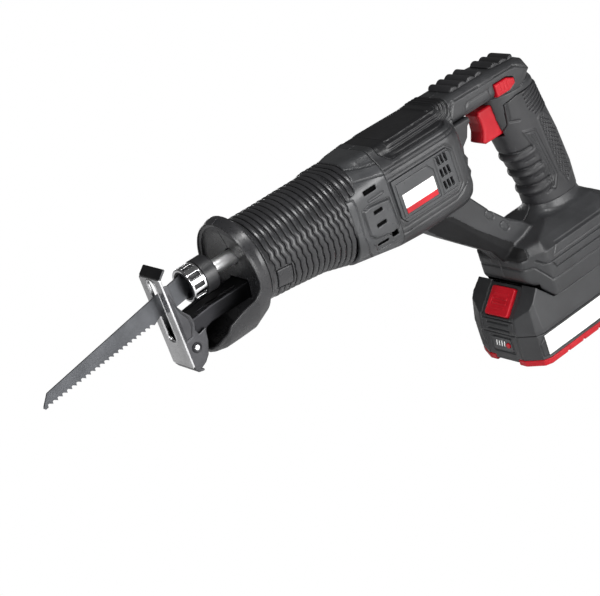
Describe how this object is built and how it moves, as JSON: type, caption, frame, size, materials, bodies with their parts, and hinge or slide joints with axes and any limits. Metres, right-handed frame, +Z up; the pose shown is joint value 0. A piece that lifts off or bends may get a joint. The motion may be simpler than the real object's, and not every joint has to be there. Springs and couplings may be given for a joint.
{
  "type": "cordless reciprocating saw",
  "caption": "Handheld reciprocating saw with a D-shaped rear handle, ribbed rubber front grip, tilting shoe, wood-cutting blade, wobble-plate drive and slide-off battery.",
  "frame": {"origin": "on the stroke axis, where it crosses the front face of the shoe", "axes": "+Z up, the saw standing on its battery; -X towards the blade and nose, +X towards the handle and tail; -Y is the tool's left side"},
  "size_m": [0.5074, 0.0786, 0.2397],
  "materials": {
    "grey_plastic": "satin",
    "dark_plastic": "satin",
    "black_rubber": "matte",
    "label": "gloss",
    "steel": "brushed",
    "aluminium": "cast",
    "bronze": "satin",
    "magnet": "matte",
    "black_paint": "satin",
    "board": "satin",
    "wire": "gloss",
    "copper": "satin",
    "chrome": "polished",
    "blade_steel": "satin",
    "red_plastic": "satin",
    "cell_wrap": "gloss",
    "gloss_black": "gloss"
  },
  "bodies": {
    "housing": {"gear_cover": "grey_plastic", "left_housing": "dark_plastic", "right_housing": "dark_plastic", "nose_boot": "black_rubber", "left_side_panel": "grey_plastic", "right_side_panel": "grey_plastic", "side_labels": "label", "top_cover": "black_rubber", "top_pads": "black_rubber", "grip_sleeve": "black_rubber", "guard_pad": "black_rubber", "case_screws": "steel", "gear_case": "aluminium", "gear_case_plate": "aluminium", "gear_case_screws": "steel", "front_bush": "bronze", "rear_bush": "bronze", "rod_seal": "black_rubber", "drive_bearings": "steel", "motor_can": "steel", "motor_magnets": "magnet", "motor_end_cap": "dark_plastic", "motor_brushes": "magnet", "shoe_arm": "black_paint", "shoe_pivot_pin": "steel", "switch_module": "dark_plastic", "control_board": "board", "battery_leads": "wire", "motor_leads": "wire", "terminal_block": "dark_plastic", "terminal_blades": "copper"},
    "rotor": {"motor_shaft": "steel", "rotor_core": "steel", "rotor_windings": "copper", "commutator": "copper", "cooling_fan": "dark_plastic"},
    "wobble_shaft_body": {"wobble_shaft": "steel", "driven_gear": "steel", "wobble_race": "steel"},
    "wobble_arm_body": {"wobble_arm": "steel"},
    "plunger_body": {"plunger": "steel", "clamp_body": "black_paint", "clamp_ring": "black_paint"},
    "collar_body": {"clamp_collar": "chrome"},
    "blade_body": {"saw_blade": "blade_steel"},
    "shoe_body": {"shoe": "steel"},
    "trigger_body": {"trigger": "red_plastic"},
    "lock_body": {"lock_button": "red_plastic"},
    "battery_body": {"battery_top_case": "dark_plastic", "battery_lower_case": "dark_plastic", "battery_base": "red_plastic", "battery_screws": "steel", "battery_cells": "cell_wrap", "cell_holder": "grey_plastic", "battery_board": "board", "battery_clips": "copper", "gauge_window": "gloss_black", "battery_labels": "label"},
    "latch_body": {"latch_button": "red_plastic"},
    "gauge_body": {"gauge_button": "red_plastic"}
  },
  "joints": [
    {"name": "motor_spin", "type": "hinge", "parent": "housing", "child": "rotor", "pos_m": [0.226, 0, -0.014], "axis": [1, 0, 0], "continuous": true},
    {"name": "wobble_shaft_spin", "type": "hinge", "parent": "housing", "child": "wobble_shaft_body", "pos_m": [0.143, 0, -0.0324], "axis": [1, 0, 0], "continuous": true},
    {"name": "stroke", "type": "slide", "parent": "housing", "child": "plunger_body", "axis": [1, 0, 0], "range_m": [-0.0125, 0.0125]},
    {"name": "wobble_swing", "type": "hinge", "parent": "housing", "child": "wobble_arm_body", "pos_m": [0.143, 0, -0.0324], "axis": [0, 1, 0], "range_deg": [-22.6, 22.6]},
    {"name": "collar_twist", "type": "hinge", "parent": "plunger_body", "child": "collar_body", "pos_m": [0.029, 0, 0], "axis": [1, 0, 0], "range_deg": [0, 45]},
    {"name": "blade_out", "type": "slide", "parent": "plunger_body", "child": "blade_body", "axis": [-1, 0, 0], "range_m": [0, 0.16]},
    {"name": "shoe_tilt", "type": "hinge", "parent": "housing", "child": "shoe_body", "pos_m": [0.0084, 0, -0.0388], "axis": [0, 1, 0], "range_deg": [-15, 8]},
    {"name": "trigger_pull", "type": "slide", "parent": "housing", "child": "trigger_body", "axis": [1, 0, 0], "range_m": [0, 0.006]},
    {"name": "lock_slide", "type": "slide", "parent": "housing", "child": "lock_body", "axis": [0, 1, 0], "range_m": [-0.003, 0.003]},
    {"name": "battery_slide", "type": "slide", "parent": "housing", "child": "battery_body", "axis": [-1, 0, 0], "range_m": [0, 0.13]},
    {"name": "latch_press", "type": "slide", "parent": "battery_body", "child": "latch_body", "axis": [0.7071, 0, -0.7071], "range_m": [0, 0.003]},
    {"name": "gauge_press", "type": "slide", "parent": "battery_body", "child": "gauge_body", "axis": [1, 0, 0], "range_m": [0, 0.001]}
  ],
  "couplings": [
    {"joint": "wobble_shaft_spin", "follows": "motor_spin", "ratio": -0.27778},
    {"joint": "wobble_swing", "follows": "stroke", "rad_per_m": 31.4}
  ]
}
